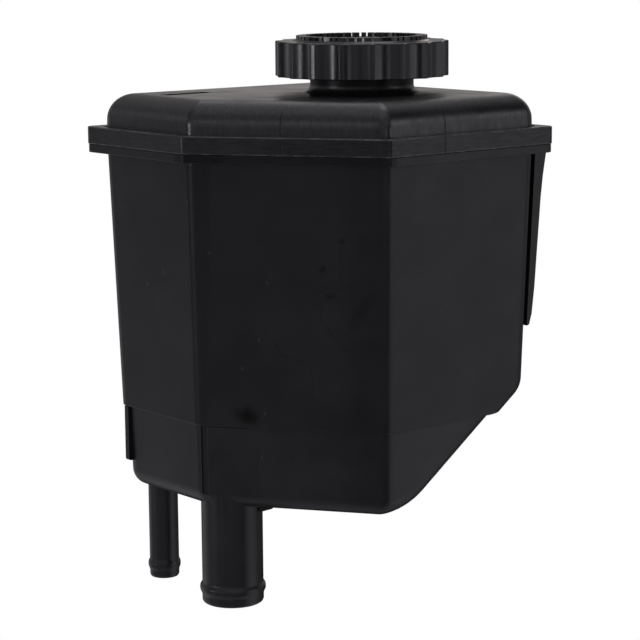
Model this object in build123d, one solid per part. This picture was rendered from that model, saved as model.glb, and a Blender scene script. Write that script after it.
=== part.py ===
from build123d import *
import math
import os

os.makedirs("parts", exist_ok=True)

# ---------------------------------------------------------------------------
# Power steering reservoir: moulded tank with a welded lid, a fluted screw cap,
# two hose nipples under the floor and a hanger tongue on the right wall.
# Millimetres, +Z up. The solids are drawn in a working frame whose Z = 0 is the
# tip of the suction nipple and whose X, Y = 0 is the middle of the weld flange;
# on export they move to the row frame, whose origin is the seat of the hanger
# slot (middle of the slot, against the underside of the flange).
# ---------------------------------------------------------------------------

# plan outline of the weld flange: a rectangle with one large chamfered corner
FLANGE_X = 105.6          # flange length along X
FLANGE_Y = 104.4          # flange width along Y
CHAMFER_X = 37.0          # chamfer leg along X, at the -X -Y corner
CHAMFER_Y = 52.7          # chamfer leg along Y
FLANGE_R = 2.5            # vertical corner radius of the flange

# heights
Z_FLOOR = 31.85           # outer floor
Z_STEP = 58.05            # step line round the tank
Z_LEDGE = 59.6            # matching step on the inside
Z_TANK_FL = 139.8         # underside of the tank's flange
Z_PART = 142.5            # weld plane between tank and lid
Z_LID_FL = 148.0          # top of the lid's flange
Z_LID_TOP = 158.35        # lid top
WALL_T = 2.5              # wall thickness

# tank walls
WALL_INSET = 3.77         # wall inset from the flange edge, at the flange
WALL_DRAFT = 0.026        # inward draft per millimetre going down
STEP_IN = 0.8             # how far the lower part is set in at the step
SLOPE_DEG = 36.3          # floor slope on the +X side
SLOPE_X_UP = 38.3         # where the upper slope meets the step plane
SLOPE_X_LOW = 35.2        # where the lower slope meets the step plane
CORNER_UP_R = 5.0         # vertical corners, upper part
CORNER_LOW_R = 6.0        # vertical corners, lower part
CORNER_FAR_R = 7.0        # far-left vertical corner, lower part
SLOPE_TOP_R = 8.0         # rounding between right wall and slope
SLOPE_BOT_R = 26.0        # rounding between slope and floor
FLOOR_R = 5.5             # floor edge rounding
STEP_R = 0.5              # rounding of the step's lower edge

# lid
LID_INSET = 3.75
LID_DRAFT = 0.02
LID_SHOULDER_R = 8.0
LID_CORNER_R = 4.7
GROOVE_W = 0.7            # groove round the foot of the lid wall
GROOVE_D = 0.5
MARK = (-31.0, 27.3, 17.6, 4.4, 0.45, 3.0)   # shallow mark: x, y, length, width, depth, angle

# neck, cap and their thread
NECK_X, NECK_Y = 12.3, -7.0
NECK_R = 16.3
NECK_BORE_R = 13.6
NECK_TOP = 170.05
NECK_FOOT_R = 2.5
THREAD_PITCH = 3.5
THREAD_TURNS = 1.0
THREAD_Z = 165.25
THREAD_CREST_R = 17.5     # neck thread, outside
CAP_MINOR_R = 16.65       # cap thread, inside
CAP_BORE_R = 17.9
CAP_SKIRT_R = 19.9
CAP_R = 27.2              # over the lands between the flutes
CAP_SHELL_R = 23.2        # inside of the fluted wall
CAP_BOTTOM = 163.55
CAP_RIM = 174.55
CAP_CEIL = 172.45
FLUTES = 18
FLUTE_R = 8.5
FLUTE_DEPTH = 1.3
FLUTE_PHASE = -39.65 + 270.0 - 14.2
RING_R0, RING_R1 = 17.4, 20.6    # raised ring of blocks on the cap
DISC_R = 21.6                    # raised disc that carries the ring
DISC_H = 0.4
RING_H = 1.2

# nipples
PORT_X = -34.1
SUCTION_Y = 2.7
RETURN_Y = 39.8
SUCTION_R, SUCTION_BORE_R, SUCTION_BEAD_R = 9.67, 6.5, 10.4
RETURN_R, RETURN_BORE_R, RETURN_BEAD_R = 4.8, 3.1, 5.3
SOCKET_R = 7.0            # counterbore that takes the strainer's collar
SOCKET_Z = 26.0

# hanger tongue on the right wall
TONGUE_Y = 45.0           # half width
SLOT_X_TOP = 51.35        # inner face of the tongue at the flange
SLOT_X_TIP = 48.25        # inner face at the tip
TONGUE_TIP_Z = 84.4

# row frame
ORIGIN = (50.19, 0.0, Z_TANK_FL)


# ---------------------------------------------------------------------------
# helpers
# ---------------------------------------------------------------------------
SLOPE = math.radians(SLOPE_DEG)
CH = math.hypot(CHAMFER_X, CHAMFER_Y)
NX, NY = CHAMFER_Y / CH, CHAMFER_X / CH        # inward normal of the chamfer face
TX, TY = NY, -NX                               # along the chamfer face, towards +X -Y


def plan(inset):
    """Corners of the outline, inset on every side."""
    w, d = FLANGE_X / 2 - inset, FLANGE_Y / 2 - inset
    k = NX * (-FLANGE_X / 2) + NY * (-FLANGE_Y / 2 + CHAMFER_Y) + inset
    return [(-w, d), (w, d), (w, -d), ((k + NY * d) / NX, -d), (-w, (k + NX * w) / NY)]


def ring_face(points):
    return Face(Wire(Polyline(*points, close=True).edges()))


def prism_down(i_top, z0, z1, draft):
    """Solid under the outline inset by i_top at z1, drawn in going down to z0."""
    f = ring_face([(x, -y, 0) for x, y in plan(i_top)])
    s = Solid.extrude_taper(f, Vector(0, 0, z1 - z0), math.degrees(math.atan(draft)))
    return Pos(0, 0, z1) * (Rot(180, 0, 0) * s)


def prism_up(i_bot, z0, z1, draft):
    """Solid over the outline inset by i_bot at z0, drawn in going up to z1."""
    f = ring_face([(x, y, 0) for x, y in reversed(plan(i_bot))])
    s = Solid.extrude_taper(f, Vector(0, 0, z1 - z0), math.degrees(math.atan(draft)))
    return Pos(0, 0, z0) * s


def straight(inset, z0, z1, radius):
    """Straight-sided block on the outline, with rounded vertical corners."""
    f = ring_face([(x, y, 0) for x, y in reversed(plan(inset))])
    s = Pos(0, 0, z0) * Solid.extrude(f, Vector(0, 0, z1 - z0))
    return fillet([e for e in s.edges() if abs((e @ 1 - e @ 0).normalized().Z) > 0.9], radius)


def wall_inset(z):
    return WALL_INSET + WALL_DRAFT * (Z_TANK_FL - z)


def slope_cut(x_at_step):
    """Everything below the sloping floor's plane."""
    k = math.tan(SLOPE)
    a, b = x_at_step - 80, x_at_step + 60
    pts = [(a, 0, Z_STEP - 80 * k), (b, 0, Z_STEP + 60 * k), (b, 0, -200), (a, 0, -200)]
    return extrude(make_face(Polyline(*pts, close=True)), amount=100, both=True, dir=(0, 1, 0))


def y_edges(s, test):
    return [e for e in s.edges() if abs((e @ 1 - e @ 0).normalized().Y) > 0.98 and test(e @ 0.5)]


def down_edges(s, test):
    """Edges that run down a corner or along the slope."""
    out = []
    for e in s.edges():
        d = (e @ 1 - e @ 0).normalized()
        if abs(d.Y) < 0.1 and abs(d.Z) > 0.15 and test(e @ 0.5):
            out.append(e)
    return out


def upper_body(e, z0, z1):
    """Upper part of the tank, every wall moved inward by e."""
    s = prism_down(wall_inset(z1) + e, z0, z1, WALL_DRAFT)
    s = s - slope_cut(SLOPE_X_UP - e / math.sin(SLOPE))
    s = fillet(y_edges(s, lambda m: m.X > 35 and z0 + 1 < m.Z < z1 - 1), SLOPE_TOP_R - e)
    s = fillet(down_edges(s, lambda m: True), CORNER_UP_R - e)
    if e == 0:
        s = fillet([x for x in s.edges() if abs((x @ 0).Z - z0) < 0.01 and abs((x @ 1).Z - z0) < 0.01], STEP_R)
    return s


def lower_body(e, z1):
    """Lower part of the tank, below the step, every wall moved inward by e."""
    s = prism_down(wall_inset(z1) + STEP_IN + e, Z_FLOOR + e, z1, WALL_DRAFT)
    s = fillet(down_edges(s, lambda m: m.X < -30 and m.Y > 30), CORNER_FAR_R - e)
    s = fillet(down_edges(s, lambda m: m.X < -5 and m.Y < 20), CORNER_LOW_R - e)
    s = s - slope_cut(SLOPE_X_LOW - e / math.sin(SLOPE))
    s = fillet(y_edges(s, lambda m: -20 < m.X < 20 and m.Z < Z_FLOOR + e + 1), SLOPE_BOT_R - e)
    loop = []
    for x in s.edges():
        m, d = x @ 0.5, (x @ 1 - x @ 0).normalized()
        if m.Z > z1 - 0.01 or (abs(d.Y) > 0.98 and m.X > -20):
            continue
        if (m.X < -5 or m.X > 30) and abs(d.Z) > 0.9:
            continue
        loop.append(x)
    return fillet(loop, FLOOR_R - e)


def turned(points, x, y):
    """Solid of revolution about a vertical axis, from (radius, height) points."""
    f = make_face(Polyline(*[(r, 0, z) for r, z in points], close=True))
    return Pos(x, y, 0) * revolve(f, axis=Axis.Z, revolution_arc=360)


def tube(r_out, r_in, z0, z1, x=0.0, y=0.0):
    s = Pos(0, 0, z0) * Cylinder(r_out, z1 - z0, align=(Align.CENTER, Align.CENTER, Align.MIN))
    if r_in:
        s = s - Pos(0, 0, z0 - 1) * Cylinder(r_in, z1 - z0 + 2, align=(Align.CENTER, Align.CENTER, Align.MIN))
    return Pos(x, y, 0) * s


def block(x0, x1, y0, y1, z0, z1):
    return Pos((x0 + x1) / 2, (y0 + y1) / 2, (z0 + z1) / 2) * Box(x1 - x0, y1 - y0, z1 - z0)


def helix_ridge(r_root, r_crest, z0, turns, start_deg, base, crest):
    """Helical thread ridge; r_root lies inside the wall that carries it."""
    path = Helix(pitch=THREAD_PITCH, height=THREAD_PITCH * turns, radius=r_root)
    prof = ring_face([(r_root, 0, -base / 2), (r_crest, 0, -crest / 2), (r_crest, 0, crest / 2), (r_root, 0, base / 2)])
    s = Solid.sweep(prof, path=Wire(path.edges()), is_frenet=True)
    return Pos(0, 0, z0) * (Rot(0, 0, start_deg) * s)


def nipple_outline(r, bead_r, bead_z, tip_r, z_tip, z_top):
    """Half section of a hose nipple: rounded tip, bead with a short land, plain tube."""
    pts = [(0, z_tip)]
    for i in range(5):                      # rounded tip
        a = math.radians(22.5 * i)
        pts.append((tip_r - 1.1 + 1.1 * math.sin(a), z_tip + 1.1 - 1.1 * math.cos(a)))
    n = 5
    for i in range(0, n + 1):               # flank up to the land
        t = i / n
        pts.append((tip_r + (bead_r - tip_r) * 0.5 * (1 - math.cos(math.pi * t)), bead_z - 2.3 + 1.9 * t))
    for i in range(0, n + 1):               # flank back to the tube
        t = i / n
        pts.append((r + (bead_r - r) * 0.5 * (1 + math.cos(math.pi * t)), bead_z + 0.4 + 1.6 * t))
    pts += [(r, z_top), (0, z_top)]
    return pts


pieces = {}

# ---------------------------------------------------------------------------
# tank: walls, flange, hanger tongue, nipples, boss, fin, pins
# ---------------------------------------------------------------------------
tank = upper_body(0.0, Z_STEP, Z_TANK_FL) + lower_body(0.0, Z_STEP)
tank_flange = straight(0.25, Z_TANK_FL, Z_PART, FLANGE_R - 0.25)
tank_flange = fillet([e for e in tank_flange.edges() if abs((e @ 0).Z - (e @ 1).Z) < 0.01], 0.3)
tank = tank + tank_flange

# flange ledge and hanger tongue, thick at the root and thin at the tip
tank = tank + block(FLANGE_X / 2 - 6, 56.3, -TONGUE_Y, TONGUE_Y, Z_TANK_FL, Z_PART)
tongue_pts = [
    (SLOT_X_TOP, Z_TANK_FL + 0.5), (SLOT_X_TIP, 85.6), (SLOT_X_TIP + 0.15, TONGUE_TIP_Z), (49.3, 84.7),
    (50.4, 88.2), (51.5, 96.6), (52.6, 109.5), (53.95, 125.0), (54.85, 132.0), (56.3, Z_TANK_FL), (56.3, Z_TANK_FL + 0.5),
]
tongue = extrude(
    make_face(Polyline(*[(x, 0, z) for x, z in tongue_pts], close=True)), amount=TONGUE_Y, both=True, dir=(0, 1, 0)
)
tank = tank + tongue

# flat boss on the chamfer face, above the suction nipple: it stands proud at
# its left end and runs out flush at its right end
BOSS_X, BOSS_Y, BOSS_W, BOSS_RISE = -39.64, -6.2, 17.1, 0.6
boss = Pos(BOSS_X, BOSS_Y, (Z_FLOOR + Z_STEP - 0.2) / 2) * (
    Rot(0, 0, math.degrees(math.atan2(TY, TX))) * Box(BOSS_W, 12.0, Z_STEP - 0.2 - Z_FLOOR)
)
boss_skin = prism_down(wall_inset(Z_STEP) + STEP_IN, Z_FLOOR, Z_STEP, WALL_DRAFT)
boss_skin = fillet([e for e in boss_skin.edges() if abs((e @ 0).Z - Z_FLOOR) < 0.01 and abs((e @ 1).Z - Z_FLOOR) < 0.01], FLOOR_R)
ex, ey = BOSS_X + TX * BOSS_W / 2, BOSS_Y + TY * BOSS_W / 2
turn = Pos(ex, ey, 0) * Rot(0, 0, math.degrees(math.atan(BOSS_RISE / BOSS_W))) * Pos(-ex, -ey, 0)
boss = boss & (turn * boss_skin)
# shallow channel between the corner and the boss
CHANNEL_U0, CHANNEL_DEPTH, CHANNEL_Z0 = -28.4, 0.75, 36.2
boss_u0 = BOSS_X * TX + BOSS_Y * TY - BOSS_W / 2
channel_x = BOSS_X + TX * ((CHANNEL_U0 + boss_u0) / 2 - (BOSS_X * TX + BOSS_Y * TY))
channel_y = BOSS_Y + TY * ((CHANNEL_U0 + boss_u0) / 2 - (BOSS_X * TX + BOSS_Y * TY))
channel = Pos(channel_x, channel_y, (CHANNEL_Z0 + Z_STEP) / 2) * (
    Rot(0, 0, math.degrees(math.atan2(TY, TX))) * Box(boss_u0 - CHANNEL_U0, 12.0, Z_STEP - CHANNEL_Z0)
)
tank = tank - (channel - prism_down(wall_inset(Z_STEP) + STEP_IN + CHANNEL_DEPTH, Z_FLOOR - 5, Z_STEP, WALL_DRAFT))
left_edges = [
    e for e in boss.edges()
    if abs((e @ 1 - e @ 0).normalized().Z) > 0.9 and ((e @ 0.5).X - BOSS_X) * TX + ((e @ 0.5).Y - BOSS_Y) * TY < 0
    and ((e @ 0.5).X - BOSS_X) * NX + ((e @ 0.5).Y - BOSS_Y) * NY < 2
]
boss = fillet(left_edges, 0.3)
tank = tank + boss

# thin fin at the far-left corner, flush with the left wall
fin = block(-46.85, -38.0, 40.3, 42.3, 40.2, Z_STEP)
fin = fillet([e for e in fin.edges() if abs((e @ 0.5).Z - 40.2) < 0.01 and (e @ 0.5).X < -45.8], 0.8)
tank = tank + fin

# nipples and the small web beside the big one
tank = tank + turned(nipple_outline(SUCTION_R, SUCTION_BEAD_R, 4.5, 9.75, -0.4, 38.0), PORT_X, SUCTION_Y)
tank = tank + turned(nipple_outline(RETURN_R, RETURN_BEAD_R, 3.9, 4.8, -0.6, 36.0), PORT_X, RETURN_Y)
web = extrude(
    make_face(Polyline((7.5, 0, 29.3), (10.5, 0, 29.6), (13.6, 0, 30.6), (15.6, 0, 32.2), (15.6, 0, 33.5), (7.5, 0, 33.5), close=True)),
    amount=1.6, both=True, dir=(0, 1, 0),
)
tank = tank + Pos(PORT_X, SUCTION_Y, 0) * (Rot(0, 0, math.degrees(math.atan2(TY, TX))) * web)

# hollow, with its own step
tank = tank - (upper_body(WALL_T, Z_LEDGE, Z_PART + 0.5) + lower_body(WALL_T, Z_LEDGE))

# bores of the nipples, and the socket that takes the strainer's collar
tank = tank - tube(SUCTION_BORE_R, 0, -1, SOCKET_Z + 1, PORT_X, SUCTION_Y)
tank = tank - tube(SOCKET_R, 0, SOCKET_Z, Z_FLOOR + WALL_T + 2, PORT_X, SUCTION_Y)
tank = tank - tube(RETURN_BORE_R, 0, -1, Z_FLOOR + WALL_T + 2, PORT_X, RETURN_Y)

# three posts with pins for the baffle plate, and the magnet's ring on the floor
POSTS = [(-38.6, 21.5), (-6.0, 37.0), (-6.0, -37.0)]
for px, py in POSTS:
    tank = tank + turned([(0, 33.0), (3.4, 33.0), (2.8, Z_LEDGE), (1.5, Z_LEDGE), (1.5, 65.6), (1.1, 66.0), (0, 66.0)], px, py)
MAGNET_X, MAGNET_Y, MAGNET_R = -16.5, 11.0, 7.0
FLOOR_IN = Z_FLOOR + WALL_T
tank = tank + tube(9.0, 7.15, FLOOR_IN - 0.5, FLOOR_IN + 3.0, MAGNET_X, MAGNET_Y)
pieces["tank_shell"] = tank

# ---------------------------------------------------------------------------
# lid: flange, domed shoulder, neck with its thread
# ---------------------------------------------------------------------------
lid = straight(0.0, Z_PART, Z_LID_FL, FLANGE_R)
lid = fillet([e for e in lid.edges() if abs((e @ 0).Z - Z_LID_FL) < 0.01 and abs((e @ 1).Z - Z_LID_FL) < 0.01], 0.4)
lid = fillet([e for e in lid.edges() if abs((e @ 0).Z - Z_PART) < 0.01 and abs((e @ 1).Z - Z_PART) < 0.01], 0.3)
dome = prism_up(LID_INSET, Z_LID_FL - 1, Z_LID_TOP, LID_DRAFT)
dome = fillet([e for e in dome.edges() if (e @ 0).Z > Z_LID_TOP - 0.1 and (e @ 1).Z > Z_LID_TOP - 0.1], LID_SHOULDER_R)
dome = fillet([e for e in dome.edges() if abs((e @ 0).Z - (e @ 1).Z) > 0.8], LID_CORNER_R)

# neck, with its foot rounded into the lid's top
dome = dome + Pos(NECK_X, NECK_Y, 0) * tube(NECK_R, 0, Z_LID_TOP - 1.2, NECK_TOP)
foot = [
    e for e in dome.edges()
    if e.geom_type == GeomType.CIRCLE and abs((e @ 0).Z - Z_LID_TOP) < 0.01 and abs(e.radius - NECK_R) < 0.01
]
dome = fillet(foot, NECK_FOOT_R)
lid = lid - (straight(LID_INSET - GROOVE_W, Z_LID_FL - GROOVE_D, Z_LID_FL + 1, LID_CORNER_R) - straight(LID_INSET + 0.6, Z_LID_FL - GROOVE_D - 1, Z_LID_FL + 2, LID_CORNER_R - 0.8))
lid = lid + dome

# hollow of the lid
core = prism_up(LID_INSET + WALL_T, Z_PART - 0.5, Z_LID_TOP - WALL_T, LID_DRAFT)
core = fillet([e for e in core.edges() if (e @ 0).Z > Z_LID_TOP - WALL_T - 0.1 and (e @ 1).Z > Z_LID_TOP - WALL_T - 0.1], LID_SHOULDER_R - WALL_T)
core = fillet([e for e in core.edges() if abs((e @ 0).Z - (e @ 1).Z) > 0.8], LID_CORNER_R - WALL_T)
lid = lid - core
lid = lid - tube(NECK_BORE_R, 0, Z_LID_TOP - 6, NECK_TOP + 1, NECK_X, NECK_Y)

# thread on the neck: one coarse turn, clear of the neck's top
lid = lid + Pos(NECK_X, NECK_Y, 0) * helix_ridge(NECK_R - 0.2, THREAD_CREST_R, THREAD_Z, THREAD_TURNS, 20.0, 1.75, 0.85)

# shallow mark on the lid's top
mx, my, ml, mw, md, ma = MARK
lid = lid - Pos(mx, my, Z_LID_TOP) * (Rot(0, 0, ma) * Box(ml, mw, 2 * md))
pieces["lid_shell"] = lid

# ---------------------------------------------------------------------------
# cap: fluted grip, threaded skirt, raised ring of plain blocks on top
# ---------------------------------------------------------------------------
fluted = Sketch() + Circle(CAP_R)
for i in range(FLUTES):
    a = math.radians(FLUTE_PHASE + (i + 0.5) * 360.0 / FLUTES)
    rc = CAP_R - FLUTE_DEPTH + FLUTE_R
    fluted = fluted - Pos(rc * math.cos(a), rc * math.sin(a)) * Circle(FLUTE_R)
fluted = fillet(fluted.vertices(), 0.6)
grip = Pos(0, 0, CAP_BOTTOM) * extrude(fluted, amount=CAP_RIM - CAP_BOTTOM)
grip = fillet([e for e in grip.edges() if (e @ 0).Z > CAP_RIM - 0.01 and (e @ 1).Z > CAP_RIM - 0.01], 0.45)
grip = fillet([e for e in grip.edges() if (e @ 0).Z < CAP_BOTTOM + 0.01 and (e @ 1).Z < CAP_BOTTOM + 0.01], 0.3)
# hollow between the grip and the threaded skirt, and inside the skirt
grip = grip - tube(CAP_SHELL_R, CAP_SKIRT_R, CAP_BOTTOM - 1, CAP_CEIL - 0.6)
grip = grip - tube(CAP_BORE_R, 0, CAP_BOTTOM - 1, CAP_CEIL)
# raised disc with a bevelled edge, and the ring of blocks
grip = grip + turned([(0, CAP_RIM - 0.5), (DISC_R, CAP_RIM - 0.5), (DISC_R, CAP_RIM), (DISC_R - 0.5, CAP_RIM + DISC_H), (0, CAP_RIM + DISC_H)], 0, 0)
ring_pattern = [7.0, 4.0, 6.0, 3.5, 7.5, 5.0, 4.5, 6.5]      # block lengths in degrees, six times round
gap_deg = (60.0 - sum(ring_pattern)) / len(ring_pattern)
ring_all = tube(RING_R1, RING_R0, CAP_RIM + DISC_H - 0.3, CAP_RIM + DISC_H + RING_H)
cuts = None
ang = 0.0
for turn in range(6):
    for length in ring_pattern:
        ang += length
        wedge_pts = [(12 * math.cos(math.radians(v)), 12 * math.sin(math.radians(v))) for v in (ang, ang + gap_deg)]
        far_pts = [(30 * math.cos(math.radians(v)), 30 * math.sin(math.radians(v))) for v in (ang + gap_deg, ang)]
        w = Pos(0, 0, CAP_RIM + DISC_H) * extrude(make_face(Polyline(*wedge_pts, *far_pts, close=True)), amount=5)
        cuts = w if cuts is None else cuts + w
        ang += gap_deg
grip = grip + (ring_all - cuts)
# round socket under the ceiling that holds the dipstick's head, with a vent hole
grip = grip + tube(11.1, 9.9, CAP_CEIL - 3.4, CAP_CEIL + 0.3)
grip = grip - tube(1.2, 0, CAP_CEIL - 1, CAP_CEIL + 1.2, 4.2, 0)
grip = grip - tube(1.5, 0, CAP_CEIL - 1, CAP_CEIL + 1.6)
# inside thread, half a pitch below the neck's
grip = grip + helix_ridge(CAP_BORE_R + 0.2, CAP_MINOR_R, THREAD_Z, THREAD_TURNS, 200.0, 1.55, 0.8)
pieces["filler_cap"] = Pos(NECK_X, NECK_Y, 0) * grip

# flat gasket between the cap's ceiling and the strainer's rim
pieces["cap_gasket"] = tube(17.3, 12.75, NECK_TOP + 1.0, CAP_CEIL, NECK_X, NECK_Y)

# umbrella vent valve in the cap's middle: stem, bulb and thin skirt
pieces["vent_valve"] = turned(
    [(0, CAP_CEIL - 1.5), (0.9, CAP_CEIL - 1.6), (6.2, CAP_CEIL - 0.75), (6.3, CAP_CEIL - 0.25), (5.2, CAP_CEIL - 0.1), (1.35, CAP_CEIL - 0.3), (1.35, CAP_CEIL + 1.4), (0, CAP_CEIL + 1.4)],
    NECK_X, NECK_Y,
)

# dipstick: round head with vent holes, tapered blade, two level notches
head = tube(9.8, 0, CAP_CEIL - 3.2, CAP_CEIL - 1.8)
for i in range(6):
    a = math.radians(60 * i + 15)
    head = head - tube(1.1, 0, CAP_CEIL - 5, CAP_CEIL, 7.0 * math.cos(a), 7.0 * math.sin(a))
head = head + tube(9.8, 8.6, CAP_CEIL - 2.0, CAP_CEIL - 0.1)
blade_pts = [(-4.0, CAP_CEIL - 2.5), (4.0, CAP_CEIL - 2.5), (3.4, 112.0), (3.4, 98.0), (2.2, 94.0), (-2.2, 94.0), (-3.4, 98.0), (-3.4, 112.0)]
blade = extrude(make_face(Polyline(*[(x, 0, z) for x, z in blade_pts], close=True)), amount=1.0, both=True, dir=(0, 1, 0))
for z in (104.0, 118.0):
    for s in (-1, 1):
        blade = blade - Pos(s * 3.9, 0, z) * Box(1.4, 3.0, 1.2)
pieces["dipstick"] = Pos(NECK_X, NECK_Y, 0) * (head + blade)

# filler strainer: basket with windows, hanging in the neck by its rim
basket = tube(16.1, 11.7, NECK_TOP, NECK_TOP + 1.0) + tube(12.9, 11.7, 146.0, NECK_TOP + 0.5) + tube(12.9, 5.6, 144.6, 146.2)
for i in range(12):
    a = 30 * i
    basket = basket - Rot(0, 0, a) * block(10.5, 14.0, -2.1, 2.1, 148.0, 157.5)
    basket = basket - Rot(0, 0, a) * block(10.5, 14.0, -2.1, 2.1, 159.5, 167.0)
pieces["filler_strainer"] = Pos(NECK_X, NECK_Y, 0) * basket

# ---------------------------------------------------------------------------
# baffle plate on the inner step, with its push nuts
# ---------------------------------------------------------------------------
plate = straight(wall_inset(Z_LEDGE) + WALL_T + 0.4, Z_LEDGE, Z_LEDGE + 2.0, 3.2)
x_cut = SLOPE_X_UP - WALL_T / math.sin(SLOPE) + (Z_LEDGE - Z_STEP) / math.tan(SLOPE) - 0.5
plate = plate - block(x_cut, 80, -80, 80, Z_LEDGE - 1, Z_LEDGE + 3)
plate = fillet([e for e in plate.edges() if abs((e @ 1 - e @ 0).normalized().Z) > 0.9 and abs((e @ 0.5).X - x_cut) < 0.1], 5.0)
for px, py in POSTS:
    plate = plate - tube(1.8, 0, Z_LEDGE - 1, Z_LEDGE + 3, px, py)
plate = plate - tube(9.6, 0, Z_LEDGE - 1, Z_LEDGE + 3, PORT_X, SUCTION_Y)
for ix in range(6):
    for iy in range(7):
        hx, hy = -21.0 + 9.0 * ix, -30.0 + 10.0 * iy
        if hx < -16 and hy < -12:
            continue
        plate = plate - tube(2.1, 0, Z_LEDGE - 1, Z_LEDGE + 3, hx, hy)
for y in (-15.0, 15.0):
    plate = plate + block(-15.0, 27.0, y - 0.8, y + 0.8, Z_LEDGE + 1.5, Z_LEDGE + 7.0)
pieces["baffle_plate"] = plate

nuts = []
for px, py in POSTS:
    nut = turned([(1.56, 62.15), (2.6, Z_LEDGE + 2.0), (4.6, Z_LEDGE + 2.0), (4.6, Z_LEDGE + 2.35), (2.75, Z_LEDGE + 2.35), (1.56, 62.6)], px, py)
    nuts.append(nut)
pieces["baffle_push_nuts"] = nuts

# ---------------------------------------------------------------------------
# suction strainer: cage, mesh, O-ring, bypass disc, spring and its seat
# ---------------------------------------------------------------------------
CAGE_TOP = 88.0
CAGE_R, CAGE_IN = 6.0, 5.1
cage = tube(6.85, 4.75, SOCKET_Z, 36.0) + tube(CAGE_R, 4.75, 35.0, 40.0)
cage = cage + tube(CAGE_R, CAGE_IN, 39.0, CAGE_TOP - 1.0) + tube(CAGE_R, 3.1, CAGE_TOP - 2.0, CAGE_TOP)
cage = cage - tube(8.0, 6.0, 28.4, 29.8)                   # O-ring groove in the collar
for i in range(4):
    for z0, z1 in ((42.0, 52.5), (54.0, 64.5), (66.0, 76.0)):
        cage = cage - Rot(0, 0, 90 * i) * block(3.5, 9.0, -2.7, 2.7, z0, z1)
pieces["strainer_cage"] = Pos(PORT_X, SUCTION_Y, 0) * cage
pieces["strainer_mesh"] = tube(CAGE_IN - 0.03, CAGE_IN - 0.33, 40.05, 77.5, PORT_X, SUCTION_Y)
seal = Solid.revolve(Face(Wire([Edge.make_circle(0.48, Plane(origin=(6.5, 0, 29.1), x_dir=(1, 0, 0), z_dir=(0, 1, 0)))])), 360, Axis.Z)
pieces["strainer_seal"] = Pos(PORT_X, SUCTION_Y, 0) * seal
pieces["bypass_disc"] = tube(4.3, 0, CAGE_TOP - 3.25, CAGE_TOP - 2.05, PORT_X, SUCTION_Y) + tube(1.2, 0, CAGE_TOP - 5.9, CAGE_TOP - 3.0, PORT_X, SUCTION_Y)
seat = tube(CAGE_IN - 0.03, 4.1, 78.0, 79.6) + (block(-4.5, 4.5, -0.9, 0.9, 78.0, 79.6) + block(-0.9, 0.9, -4.5, 4.5, 78.0, 79.6))
pieces["spring_seat"] = Pos(PORT_X, SUCTION_Y, 0) * seat
WIRE_R = 0.3
SPRING_Z0, SPRING_Z1 = 79.6 + WIRE_R + 0.03, CAGE_TOP - 3.25 - WIRE_R - 0.03
spring_path = Helix(pitch=(SPRING_Z1 - SPRING_Z0) / 3.5, height=SPRING_Z1 - SPRING_Z0, radius=2.5)
spring = Solid.sweep(
    Face(Wire([Edge.make_circle(WIRE_R, Plane(origin=(2.5, 0, 0), x_dir=(1, 0, 0), z_dir=(0, 1, 0)))])),
    path=Wire(spring_path.edges()), is_frenet=True,
)
pieces["bypass_spring"] = Pos(PORT_X, SUCTION_Y, SPRING_Z0) * spring

# return deflector: box in the far-left corner, its floor open over the return
# port, its mouth towards +X
HOOD_GAP, HOOD_T = 0.4, 1.4
hood = lower_body(WALL_T + HOOD_GAP, Z_STEP) & block(-60, -26.5, 33.0, 60, 0, 46.0)
hood = hood - (lower_body(WALL_T + HOOD_GAP + HOOD_T, Z_STEP) & block(-60, -20, 33.0 + HOOD_T, 60, 0, 46.0 - HOOD_T))
hood = hood - tube(3.4, 0, FLOOR_IN - 1, 46.0 - HOOD_T, PORT_X, RETURN_Y)
pieces["return_deflector"] = Pos(0, 0, -HOOD_GAP) * hood

# chip magnet in its ring
pieces["chip_magnet"] = fillet(tube(MAGNET_R, 0, FLOOR_IN + 0.0, FLOOR_IN + 4.0, MAGNET_X, MAGNET_Y).edges(), 0.4)


# ---------------------------------------------------------------------------
# write the pieces in the row frame
# ---------------------------------------------------------------------------
move = Location((-ORIGIN[0], -ORIGIN[1], -ORIGIN[2]))
for name, shape in pieces.items():
    if isinstance(shape, list):
        shape = Compound([s.solid() for s in shape])
    solids = shape.solids()
    out = Compound(solids) if len(solids) > 1 else solids[0]
    export_step(out.moved(move), f"parts/{name}.step")
    print(name, len(solids), round(sum(s.volume for s in solids)), all(s.is_valid for s in solids))
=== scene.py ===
import math
import bpy
import bmesh
from mathutils import Vector, Matrix


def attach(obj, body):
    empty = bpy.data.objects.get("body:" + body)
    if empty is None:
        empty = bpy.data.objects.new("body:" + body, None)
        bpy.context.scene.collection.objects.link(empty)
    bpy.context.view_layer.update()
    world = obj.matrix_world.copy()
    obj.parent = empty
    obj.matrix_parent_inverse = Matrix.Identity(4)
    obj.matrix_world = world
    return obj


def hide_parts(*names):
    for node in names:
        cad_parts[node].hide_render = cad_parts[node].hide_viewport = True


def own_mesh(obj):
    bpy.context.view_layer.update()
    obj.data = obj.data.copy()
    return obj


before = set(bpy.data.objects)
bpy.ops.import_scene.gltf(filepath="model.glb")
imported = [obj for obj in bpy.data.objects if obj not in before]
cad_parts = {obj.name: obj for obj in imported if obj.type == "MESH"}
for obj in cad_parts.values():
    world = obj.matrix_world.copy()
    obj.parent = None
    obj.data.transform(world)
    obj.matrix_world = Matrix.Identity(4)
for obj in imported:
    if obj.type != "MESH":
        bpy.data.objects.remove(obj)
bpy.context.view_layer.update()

scene = bpy.context.scene
MM = 0.001

# ---------------------------------------------------------------------------
# the row frame's origin in the drawing frame (mm), and a point helper
# ---------------------------------------------------------------------------
ORG = Vector((50.19, 0.0, 139.8))


def P(x, y, z):
    """A point of the drawing frame, in millimetres, as metres in the row frame."""
    return (Vector((x, y, z)) - ORG) * MM


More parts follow.
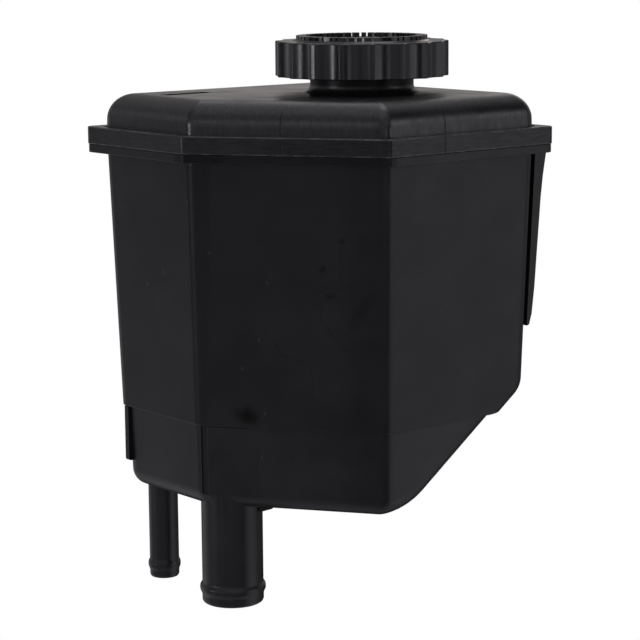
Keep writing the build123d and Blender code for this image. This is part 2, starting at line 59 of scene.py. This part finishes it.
# ---------------------------------------------------------------------------
# camera: position and turn from the fit to the photograph
# ---------------------------------------------------------------------------
A = math.radians(-39.651)
ROLL = math.radians(0.444)
back = Vector((-0.62857, -0.75845, 0.17218)).normalized()
right = Vector((math.cos(A), math.sin(A), 0.0)).normalized()
up = back.cross(right).normalized()
cam_right = right * math.cos(ROLL) - up * math.sin(ROLL)
cam_up = up * math.cos(ROLL) + right * math.sin(ROLL)
cam_data = bpy.data.cameras.new("photo_camera")
cam_data.sensor_fit = "HORIZONTAL"
cam_data.sensor_width = 36.0
cam_data.lens = 2159.42 * 36.0 / 640.0
cam_data.shift_x = -0.5 / 640.0
cam_data.clip_start = 0.01
cam_data.clip_end = 20.0
cam = bpy.data.objects.new("photo_camera", cam_data)
scene.collection.objects.link(cam)
m = Matrix((cam_right, cam_up, back)).transposed().to_4x4()
m.translation = P(-432.968, -522.994, 204.743)
cam.matrix_world = m
scene.camera = cam
scene.view_settings.view_transform = "Standard"
scene.view_settings.look = "None"


# ---------------------------------------------------------------------------
# node helpers
# ---------------------------------------------------------------------------
class Tree:
    """Short-hand for building a node tree."""

    def __init__(self, tree):
        self.t = tree
        self.n = tree.nodes
        self.l = tree.links

    def new(self, kind, **sets):
        node = self.n.new(kind)
        for k, v in sets.items():
            setattr(node, k, v)
        return node

    def put(self, node, name, value):
        sock = node.inputs[name]
        if isinstance(value, bpy.types.NodeSocket):
            self.l.new(value, sock)
        elif value is not None:
            sock.default_value = value
        return node

    def math(self, op, a, b=None, c=None, clamp=False):
        node = self.new("ShaderNodeMath", operation=op, use_clamp=clamp)
        for i, v in enumerate((a, b, c)):
            if v is not None:
                self.put(node, i, v)
        return node.outputs[0]

    def vmath(self, op, a, b=None, out=0):
        node = self.new("ShaderNodeVectorMath", operation=op)
        self.put(node, 0, a)
        if b is not None:
            self.put(node, 1, b)
        return node.outputs[out]

    def ramp(self, value, a, b, lo=0.0, hi=1.0, smooth=True):
        """Value mapped from a..b to lo..hi, clamped."""
        node = self.new("ShaderNodeMapRange", interpolation_type="SMOOTHSTEP" if smooth else "LINEAR", clamp=True)
        self.put(node, "Value", value)
        self.put(node, "From Min", a)
        self.put(node, "From Max", b)
        self.put(node, "To Min", lo)
        self.put(node, "To Max", hi)
        return node.outputs[0]

    def noise(self, vec, scale, detail=2.0, rough=0.5, distort=0.0, out="Fac"):
        node = self.new("ShaderNodeTexNoise")
        self.put(node, "Vector", vec)
        self.put(node, "Scale", scale)
        self.put(node, "Detail", detail)
        self.put(node, "Roughness", rough)
        self.put(node, "Distortion", distort)
        return node.outputs[out]

    def scaled(self, vec, s, loc=(0, 0, 0), rot=(0, 0, 0)):
        node = self.new("ShaderNodeMapping")
        self.put(node, "Vector", vec)
        self.put(node, "Scale", s)
        self.put(node, "Location", loc)
        self.put(node, "Rotation", rot)
        return node.outputs[0]

    def mix(self, fac, a, b):
        node = self.new("ShaderNodeMix", data_type="RGBA")
        self.put(node, 0, fac)
        self.put(node, 6, a)
        self.put(node, 7, b)
        return node.outputs[2]

    def mixf(self, fac, a, b):
        node = self.new("ShaderNodeMix", data_type="FLOAT")
        self.put(node, 0, fac)
        self.put(node, 2, a)
        self.put(node, 3, b)
        return node.outputs[0]


# ---------------------------------------------------------------------------
# studio: white surround seen by the camera, soft lights from both sides
# ---------------------------------------------------------------------------
world = bpy.data.worlds.new("studio")
scene.world = world
world.use_nodes = True
w = Tree(world.node_tree)
w.n.clear()
direction = w.new("ShaderNodeTexCoord").outputs["Generated"]


def azim(deg, elev):
    """Direction at an azimuth from the camera (0 = towards the camera, 90 = camera right) and an elevation."""
    a = math.atan2(back.y, back.x) + math.radians(deg)
    e = math.radians(elev)
    return (math.cos(a) * math.cos(e), math.sin(a) * math.cos(e), math.sin(e))


# soft patches of light: azimuth from the camera, elevation, half width, strength
LOBES = [
    (-130, -22, 30, 0.427), (-100, -22, 30, 0.097), (-65, -22, 30, 0.216), (-30, -22, 30, 0.082),
    (0, -22, 30, 0.105), (40, -22, 30, 0.045), (80, -22, 30, 0.465), (120, -22, 30, 0.078),
    (-150, 6, 24, 0.220), (-120, 6, 24, 0.285), (-95, 6, 24, 0.000), (-66, 6, 24, 0.280),
    (-35, 6, 24, 0.197), (0, 6, 24, 0.297), (35, 6, 24, 0.000), (65, 6, 24, 0.191),
    (90, 6, 24, 0.201), (120, 6, 24, 0.200), (150, 6, 24, 0.240), (180, 6, 24, 0.080),
    (-90, 40, 40, 0.102), (-30, 40, 40, 0.236), (30, 40, 40, 0.314), (90, 40, 40, 0.000),
    (150, 40, 40, 0.249), (-150, 40, 40, 0.267), (0, 90, 45, 0.600), (-90, -60, 45, 0.322),
    (0, -60, 45, 0.058), (90, -60, 45, 0.332), (-68, 2, 9, 6.500), (-100, 2, 12, 0.000),
    (-30, 2, 12, 0.000), (79, 2, 12, 0.357), (-100, 18, 13, 0.339), (-30, 18, 13, 0.427),
    (79, 18, 13, 1.314), (-68, 40, 10, 0.328), (10, 12, 9, 0.189), (30, 24, 9, 0.316),
    (180, 14, 10, 0.750), (-10, -42, 16, 0.318), (-67, -3, 8, 0.300), (62, -3, 10, 0.900),
    (25, -3, 10, 0.900), (-38, -3, 8, 0.113), (150, 72, 18, 1.500), (0, 72, 18, 0.000),
    (180, 50, 18, 0.917), (160, 22, 16, 1.200),
]
BASE_LIGHT = 0.011
lobe_nodes = []
light = BASE_LIGHT
for az, el, width, strength in LOBES:
    v = Vector(azim(az, el)).normalized()
    d = w.vmath("DOT_PRODUCT", direction, tuple(v), out=1)
    node = w.new("ShaderNodeMapRange", interpolation_type="SMOOTHSTEP", clamp=True)
    w.put(node, "Value", d)
    w.put(node, "From Min", math.cos(math.radians(width)))
    w.put(node, "From Max", 1.0)
    w.put(node, "To Min", 0.0)
    w.put(node, "To Max", strength)
    lobe_nodes.append(node)
    light = w.math("ADD", node.outputs[0], light)
bg_light = w.new("ShaderNodeBackground")
behind = w.ramp(w.vmath("DOT_PRODUCT", direction, tuple(Vector(azim(180, 10)).normalized()), out=1), math.cos(math.radians(60)), math.cos(math.radians(25)))
w.put(bg_light, "Color", w.mix(behind, (0.978, 0.974, 1.048, 1.0), (1.045, 0.987, 0.968, 1.0)))
w.put(bg_light, "Strength", light)
bg_seen = w.new("ShaderNodeBackground")
w.put(bg_seen, "Color", (1.0, 1.0, 1.0, 1.0))
w.put(bg_seen, "Strength", 1.0)
path = w.new("ShaderNodeLightPath")
both = w.new("ShaderNodeMixShader")
w.put(both, 0, path.outputs["Is Camera Ray"])
w.l.new(bg_light.outputs[0], both.inputs[1])
w.l.new(bg_seen.outputs[0], both.inputs[2])
w.l.new(both.outputs[0], w.new("ShaderNodeOutputWorld").inputs[0])

# pale floor under the nipples' tips
fm = bpy.data.materials.new("floor_white")
fm.use_nodes = True
f = Tree(fm.node_tree)
f.n.clear()
em = f.new("ShaderNodeEmission")
f.put(em, "Color", (1.0, 1.0, 1.0, 1.0))
f.put(em, "Strength", 1.0)
f.l.new(em.outputs[0], f.new("ShaderNodeOutputMaterial").inputs[0])
bm = bmesh.new()
for x, y in ((-3, -3), (3, -3), (3, 3), (-3, 3)):
    bm.verts.new((x, y, 0))
bm.faces.new(bm.verts)
fmesh = bpy.data.meshes.new("floor")
bm.to_mesh(fmesh)
bm.free()
floor = bpy.data.objects.new("floor", fmesh)
floor.location = P(0, 0, -0.3)
scene.collection.objects.link(floor)
fmesh.materials.append(fm)
floor.visible_glossy = False
floor.visible_diffuse = False
floor.visible_shadow = False


# ---------------------------------------------------------------------------
# materials
# ---------------------------------------------------------------------------
def new_mat(name):
    mat = bpy.data.materials.new(name)
    mat.use_nodes = True
    t = Tree(mat.node_tree)
    t.n.clear()
    bsdf = t.new("ShaderNodeBsdfPrincipled")
    t.l.new(bsdf.outputs[0], t.new("ShaderNodeOutputMaterial").inputs[0])
    pos = t.new("ShaderNodeTexCoord").outputs["Object"]
    return mat, t, bsdf, pos


# directions on the chamfered face, in the drawing frame
CH_LEN = math.hypot(37.0, 52.7)
NX, NY = 52.7 / CH_LEN, 37.0 / CH_LEN
TX, TY = NY, -NX


def face_frame(t, pos):
    """Drawing-frame coordinates in mm: x, y, z, and along (u) and into (n) the chamfered face."""
    sep = t.new("ShaderNodeSeparateXYZ")
    t.put(sep, 0, pos)
    x = t.math("MULTIPLY_ADD", sep.outputs[0], 1000.0, ORG.x)
    y = t.math("MULTIPLY", sep.outputs[1], 1000.0)
    z = t.math("MULTIPLY_ADD", sep.outputs[2], 1000.0, ORG.z)
    u = t.math("ADD", t.math("MULTIPLY", x, TX), t.math("MULTIPLY", y, TY))
    n = t.math("ADD", t.math("MULTIPLY", x, NX), t.math("MULTIPLY", y, NY))
    return x, y, z, u, n


def pair(t, a, b):
    node = t.new("ShaderNodeCombineXYZ")
    t.put(node, 0, a)
    t.put(node, 1, b)
    return node.outputs[0]


def blob(t, p, at, size, soft=1.0):
    """1 at a point of the face, falling to 0 at the ellipse of the given half sizes."""
    d = t.vmath("SUBTRACT", p, (at[0], at[1], 0))
    d = t.vmath("MULTIPLY", d, (1.0 / size[0], 1.0 / size[1], 0))
    return t.ramp(t.vmath("LENGTH", d, out=1), 1.0, 1.0 - soft, 0.0, 1.0)


def stroke(t, p, points, half):
    """1 along a broken line on the face, 0 outside its half width."""
    best = None
    for a, b in zip(points, points[1:]):
        ab = Vector((b[0] - a[0], b[1] - a[1], 0))
        d = t.vmath("SUBTRACT", p, (a[0], a[1], 0))
        k = t.math("ADD", t.vmath("DOT_PRODUCT", d, tuple(ab / ab.length_squared), out=1), 0.0, clamp=True)
        sc = t.new("ShaderNodeVectorMath", operation="SCALE")
        t.put(sc, 0, tuple(ab))
        t.put(sc, "Scale", k)
        dist = t.vmath("LENGTH", t.vmath("SUBTRACT", d, sc.outputs[0]), out=1)
        best = dist if best is None else t.math("MINIMUM", best, dist)
    return t.ramp(best, half, half * 0.25, 0.0, 1.0)


def black_plastic(name, base, rough, grain=0.02, grain_scale=2600.0, marks=None, spec=0.5):
    mat, t, bsdf, pos = new_mat(name)
    cloud = t.noise(pos, 34.0, 4.0, 0.6)
    blot = t.noise(pos, 150.0, 5.0, 0.65)
    fine = t.noise(pos, grain_scale, 2.0, 0.6)
    handled = t.ramp(cloud, 0.42, 0.66)
    specks = t.ramp(t.noise(pos, 900.0, 1.0, 0.4), 0.78, 0.82)
    col = t.mix(handled, (base, base, base * 1.08, 1), (base * 1.3, base * 1.3, base * 1.42, 1))
    col = t.mix(t.math("MULTIPLY", specks, 0.4), col, (base * 5, base * 5, base * 4.8, 1))
    r = t.math("ADD", rough - 0.03, t.math("MULTIPLY", handled, 0.05))
    r = t.math("ADD", r, t.ramp(blot, 0.35, 0.7, -0.025, 0.04))
    level = t.ramp(t.noise(pos, 60.0, 3.0, 0.55), 0.3, 0.7, spec * 0.93, spec * 1.05)
    height = t.math("MULTIPLY", fine, grain)
    if marks:
        col, r, level, height = marks(t, pos, col, r, level, height)
    t.put(bsdf, "Base Color", col)
    t.put(bsdf, "Roughness", r)
    t.put(bsdf, "Specular IOR Level", level)
    t.put(bsdf, "IOR", 1.47)
    bump = t.new("ShaderNodeBump")
    t.put(bump, "Strength", 0.35)
    t.put(bump, "Distance", MM)
    t.put(bump, "Height", height)
    t.l.new(bump.outputs[0], bsdf.inputs["Normal"])
    return mat


def edge_line(t, z, at, half):
    """1 within a thin height band, 0 outside."""
    return t.ramp(t.math("ABSOLUTE", t.math("SUBTRACT", z, at)), half, half * 0.4, 0.0, 1.0)


def top_of(t, masks):
    out = masks[0]
    for m in masks[1:]:
        out = t.math("MAXIMUM", out, m)
    return out


def tank_marks(t, pos, col, r, level, height):
    """Handling marks on the tank: greasy smudges, hair-line scratches and a few pale nicks; a darker band on the flange
    along the chamfered face; painted light on the lower body; painted shade on the left face, the chamfered face and
    the near-left corner; painted highlight lines along the flange edge and at the boss end.
    """
    x, y, z, u, n = face_frame(t, pos)
    wob = t.noise(pos, 420.0, 3.0, 0.6, out="Color")
    wob = t.vmath("MULTIPLY", t.vmath("SUBTRACT", wob, (0.5, 0.5, 0.5)), (2.6, 2.6, 0.0))
    face = t.vmath("ADD", pair(t, u, z), wob)
    on = t.ramp(n, -29.0, -31.0, 0.0, 1.0)
    smudge = top_of(t, [
        blob(t, face, (-12.9, 62.0), (6.2, 4.6), 1.0),
        t.math("MULTIPLY", blob(t, face, (17.4, 117.0), (1.6, 1.5), 0.8), 0.5),
        t.math("MULTIPLY", blob(t, face, (11.6, 108.2), (1.3, 1.9), 0.8), 0.5),
        t.math("MULTIPLY", blob(t, face, (14.0, 100.3), (2.4, 1.5), 0.8), 0.45),
        t.math("MULTIPLY", stroke(t, face, [(26.4, 100.0), (20.6, 91.6)], 2.8), 0.22),
    ])
    fine = top_of(t, [
        stroke(t, face, [(17.4, 116.0), (17.3, 102.4)], 0.35),
        stroke(t, face, [(12.3, 102.5), (20.0, 102.7)], 0.30),
        stroke(t, face, [(10.3, 98.5), (10.7, 93.0), (15.2, 87.0), (19.3, 83.6)], 0.50),
        stroke(t, face, [(-7.1, 89.2), (-1.2, 81.7), (7.6, 78.3), (7.8, 69.0)], 0.40),
        stroke(t, face, [(-8.4, 119.2), (-8.4, 113.7)], 0.25),
    ])
    # a darker band on the tank flange along the chamfered face
    flange_band_dark = t.math("MULTIPLY", t.math("MULTIPLY", t.ramp(z, 139.5, 140.1, 0.0, 1.0), t.ramp(n, -40.0, -41.0, 0.0, 1.0)), 0.55)
    dark = t.math("MULTIPLY", t.math("MAXIMUM", smudge, t.math("MULTIPLY", fine, 0.22)), on)
    dark = t.math("MAXIMUM", dark, flange_band_dark)
    # painted light: the lower body, below the step, reflects 1.2 times as much as the body above
    level = t.math("MULTIPLY", level, t.ramp(z, 58.2, 57.8, 1.0, 1.2))
    # painted shade: the left face reflects less, more so towards the top
    on_left = t.ramp(x, -44.5, -46.0, 0.0, 1.0)
    level = t.math("MULTIPLY", level, t.math("SUBTRACT", 1.0, t.math("MULTIPLY", on_left, t.ramp(z, 75.0, 135.0, 0.1, 0.28))))
    level = t.math("MULTIPLY", level, t.math("SUBTRACT", 1.0, t.math("MULTIPLY", dark, 0.72)))
    shade = t.math("MULTIPLY", t.ramp(u, 14.0, 25.0), t.ramp(u, 33.0, 30.0))
    level = t.math("MULTIPLY", level, t.math("SUBTRACT", 1.0, t.math("MULTIPLY", shade, 0.25)))
    # painted shade: the near-left corner's rounding below the flange reflects less, dimming its highlight
    facing = t.new("ShaderNodeNewGeometry").outputs["Normal"]
    near_corner_shade = t.ramp(t.vmath("DOT_PRODUCT", facing, tuple(Vector((-1.0 - NX, -NY, 0.0)).normalized()), out=1), 0.962, 0.99)
    near_corner_shade = t.math("MULTIPLY", near_corner_shade, t.ramp(z, 139.0, 138.5))
    level = t.math("MULTIPLY", level, t.math("SUBTRACT", 1.0, t.math("MULTIPLY", near_corner_shade, 0.3)))
    col = t.mix(t.math("MULTIPLY", dark, 0.7), col, (0.004, 0.004, 0.004, 1))
    still = pair(t, u, z)
    nick = top_of(t, [blob(t, still, at, (0.55, 0.9), 0.7) for at in ((-24.0, 112.3), (-5.8, 103.7), (-7.3, 63.0), (-8.77, 49.1), (-14.3, 77.0), (-8.7, 86.0))])
    nick = t.math("MULTIPLY", nick, on)
    side = pair(t, y, z)
    left = t.ramp(x, -45.5, -46.5, 0.0, 1.0)
    nick2 = top_of(t, [blob(t, side, at, (0.7, 1.2), 0.7) for at in ((17.7, 104.5), (26.6, 99.7), (3.6, 127.3))])
    rub = t.vmath("ADD", side, wob)
    rub = t.math("MULTIPLY", blob(t, rub, (39.0, 124.5), (2.6, 6.5), 0.9), t.ramp(t.noise(pos, 700.0, 3.0, 0.6), 0.4, 0.62))
    torn = t.ramp(t.noise(t.scaled(pos, (1.0, 1.0, 0.2)), 260.0, 4.0, 0.75), 0.42, 0.7, 0.0, 1.0)
    # pale line at the tank flange's lower edge: painted highlight of its rounded edge, broken up by the torn weld
    # surface
    rim = t.math("MULTIPLY", edge_line(t, z, 139.95, 0.22), torn)
    # painted highlight: a short pale line at the end of the nipple's boss
    boss_end_highlight = t.math("MULTIPLY", t.math("MULTIPLY", t.ramp(t.math("ABSOLUTE", t.math("SUBTRACT", u, -9.45)), 0.3, 0.1), t.ramp(t.math("ABSOLUTE", t.math("SUBTRACT", z, 46.2)), 2.6, 1.4)), on)
    # pale colour: worn nicks and rubs, plus the painted highlight lines of the flange edge and the boss end
    pale = t.math("MAXIMUM", nick, t.math("MULTIPLY", t.math("MAXIMUM", nick2, t.math("MULTIPLY", rub, 0.55)), left))
    pale = top_of(t, [pale, rim, t.math("MULTIPLY", boss_end_highlight, 0.35)])
    col = t.mix(t.math("MULTIPLY", pale, 0.5), col, (0.06, 0.06, 0.063, 1))
    height = t.math("SUBTRACT", height, t.math("MULTIPLY", t.math("MAXIMUM", nick, t.math("MULTIPLY", nick2, left)), 0.05))
    return col, r, level, height


def lid_marks(t, pos, col, r, level, height):
    """Mould parting lines up the lid's wall, a drawn, slightly torn surface round the welded flange with painted
    highlight lines along its edges, and painted shade on the neck under the cap.
    """
    x, y, z, u, n = face_frame(t, pos)
    low = t.ramp(z, 155.6, 154.6, 0.0, 1.0)
    flanged = t.ramp(z, 148.2, 148.0, 0.0, 1.0)
    a = t.math("MULTIPLY", t.ramp(t.math("ABSOLUTE", t.math("SUBTRACT", u, t.mixf(flanged, -0.82, 0.2))), 0.26, 0.08, 0.0, 1.0), t.ramp(n, -29.0, -31.0, 0.0, 1.0))
    b = t.math("MULTIPLY", t.ramp(t.math("ABSOLUTE", t.math("SUBTRACT", x, t.mixf(flanged, 9.6, 6.15))), 0.3, 0.1, 0.0, 1.0), t.ramp(y, -44.0, -45.0, 0.0, 1.0))
    line = t.math("MULTIPLY", t.math("MAXIMUM", a, b), low)
    level = t.math("MULTIPLY", level, t.math("SUBTRACT", 1.0, t.math("MULTIPLY", line, 0.6)))
    height = t.math("SUBTRACT", height, t.math("MULTIPLY", line, 0.10))
    torn = t.ramp(t.noise(t.scaled(pos, (1.0, 1.0, 0.2)), 230.0, 4.0, 0.75), 0.36, 0.66, 0.15, 1.0)
    # pale lines along the flange edges: painted highlights of the rounded edges, broken up by the torn weld surface
    edge = t.math("MULTIPLY", top_of(t, [edge_line(t, z, 142.7, 0.28), t.math("MULTIPLY", edge_line(t, z, 147.8, 0.26), 0.85)]), torn)
    col = t.mix(t.math("MULTIPLY", edge, 0.9), col, (0.13, 0.13, 0.138, 1))
    band = t.ramp(z, 148.3, 147.9, 0.0, 1.0)
    drawn = t.noise(t.scaled(pos, (1.0, 1.0, 7.0)), 260.0, 4.0, 0.7)
    height = t.math("ADD", height, t.math("MULTIPLY", t.math("MULTIPLY", drawn, band), 0.11))
    brushed = t.noise(t.scaled(pos, (6.0, 6.0, 0.8)), 420.0, 3.0, 0.6)
    upright = t.ramp(t.noise(t.scaled(pos, (1.0, 1.0, 0.12)), 1100.0, 3.0, 0.7), 0.3, 0.7, 0.84, 1.18)
    along = t.ramp(t.noise(t.scaled(pos, (0.12, 0.12, 1.0)), 1300.0, 3.0, 0.7), 0.3, 0.7, 0.8, 1.22)
    level = t.math("MULTIPLY", level, t.mixf(band, upright, along))
    # painted shade: the neck under the cap reflects far less
    neck = t.ramp(z, 160.2, 161.4, 1.0, 0.2)
    level = t.math("MULTIPLY", level, neck)
    height = t.math("ADD", height, t.math("MULTIPLY", brushed, 0.02))
    dome = t.ramp(z, 147.9, 148.3, 0.0, 1.0)
    level = t.math("MULTIPLY", level, t.math("MULTIPLY_ADD", dome, 0.45, 1.0))
    patchy = t.ramp(t.noise(pos, 70.0, 3.0, 0.6), 0.45, 0.62, 0.0, 1.0)
    col = t.mix(dome, col, (0.0155, 0.0155, 0.0165, 1))
    r = t.math("ADD", r, t.math("MULTIPLY", patchy, 0.05))
    r = t.math("MULTIPLY", r, t.ramp(z, 154.5, 156.5, 0.84, 1.0))
    col = t.mix(t.math("MULTIPLY", patchy, 0.5), col, (0.02, 0.02, 0.0212, 1))
    return col, r, level, height


def plain_plastic(name, colour, rough, ior=1.5):
    mat, t, bsdf, pos = new_mat(name)
    c = t.noise(pos, 120.0, 3.0, 0.6)
    dark = tuple(v * 0.86 for v in colour)
    t.put(bsdf, "Base Color", t.mix(t.ramp(c, 0.35, 0.7), (*colour, 1), (*dark, 1)))
    t.put(bsdf, "Roughness", t.ramp(t.noise(pos, 900.0, 2.0, 0.5), 0.3, 0.7, rough - 0.04, rough + 0.06))
    t.put(bsdf, "IOR", ior)
    bump = t.new("ShaderNodeBump")
    t.put(bump, "Strength", 0.3)
    t.put(bump, "Distance", 0.00002)
    t.put(bump, "Height", t.noise(pos, 2200.0, 2.0, 0.5))
    t.l.new(bump.outputs[0], bsdf.inputs["Normal"])
    return mat


def metal(name, colour, rough):
    mat, t, bsdf, pos = new_mat(name)
    t.put(bsdf, "Metallic", 1.0)
    c = t.noise(pos, 300.0, 3.0, 0.6)
    t.put(bsdf, "Base Color", t.mix(t.ramp(c, 0.4, 0.7), (*colour, 1), (*[v * 0.8 for v in colour], 1)))
    t.put(bsdf, "Roughness", t.ramp(t.noise(t.scaled(pos, (1, 1, 30)), 500.0, 2.0, 0.5), 0.3, 0.7, rough, rough + 0.12))
    return mat


MATS = {
    "tank_shell": black_plastic("tank_plastic", 0.0105, 0.37, marks=tank_marks),
    "lid_shell": black_plastic("lid_plastic", 0.0105, 0.34, marks=lid_marks),
    "filler_cap": black_plastic("cap_plastic", 0.012, 0.22, spec=0.66),
    "cap_gasket": plain_plastic("gasket_rubber", (0.02, 0.02, 0.02), 0.6),
    "vent_valve": plain_plastic("valve_rubber", (0.022, 0.022, 0.022), 0.5),
    "dipstick": plain_plastic("dipstick_plastic", (0.03, 0.03, 0.032), 0.4),
    "filler_strainer": plain_plastic("natural_nylon", (0.62, 0.58, 0.48), 0.45),
    "baffle_plate": plain_plastic("baffle_nylon", (0.6, 0.56, 0.47), 0.45),
    "baffle_push_nuts": metal("push_nut_steel", (0.55, 0.54, 0.52), 0.3),
    "strainer_cage": plain_plastic("cage_nylon", (0.6, 0.57, 0.5), 0.45),
    "strainer_mesh": plain_plastic("mesh_nylon", (0.7, 0.69, 0.64), 0.6),
    "strainer_seal": plain_plastic("seal_rubber", (0.02, 0.02, 0.02), 0.45),
    "bypass_disc": plain_plastic("disc_nylon", (0.5, 0.48, 0.42), 0.45),
    "spring_seat": plain_plastic("seat_nylon", (0.58, 0.55, 0.48), 0.45),
    "bypass_spring": metal("spring_steel", (0.6, 0.59, 0.57), 0.28),
    "return_deflector": plain_plastic("deflector_nylon", (0.6, 0.56, 0.48), 0.45),
    "chip_magnet": plain_plastic("ferrite", (0.06, 0.06, 0.065), 0.55),
}
for name, mat in MATS.items():
    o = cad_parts[name]
    for s in o.material_slots:
        s.material = mat
    if not o.material_slots:
        raise RuntimeError("no slot on " + name)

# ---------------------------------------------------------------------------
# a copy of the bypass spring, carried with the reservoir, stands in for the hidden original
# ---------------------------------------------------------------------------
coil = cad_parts["bypass_spring"].copy()
coil.data = coil.data.copy()
coil.name = "bypass_spring_coil"
coil.parent = None
coil.matrix_world = Matrix.Identity(4)
scene.collection.objects.link(coil)
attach(coil, "reservoir")
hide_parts("bypass_spring")
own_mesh(coil)
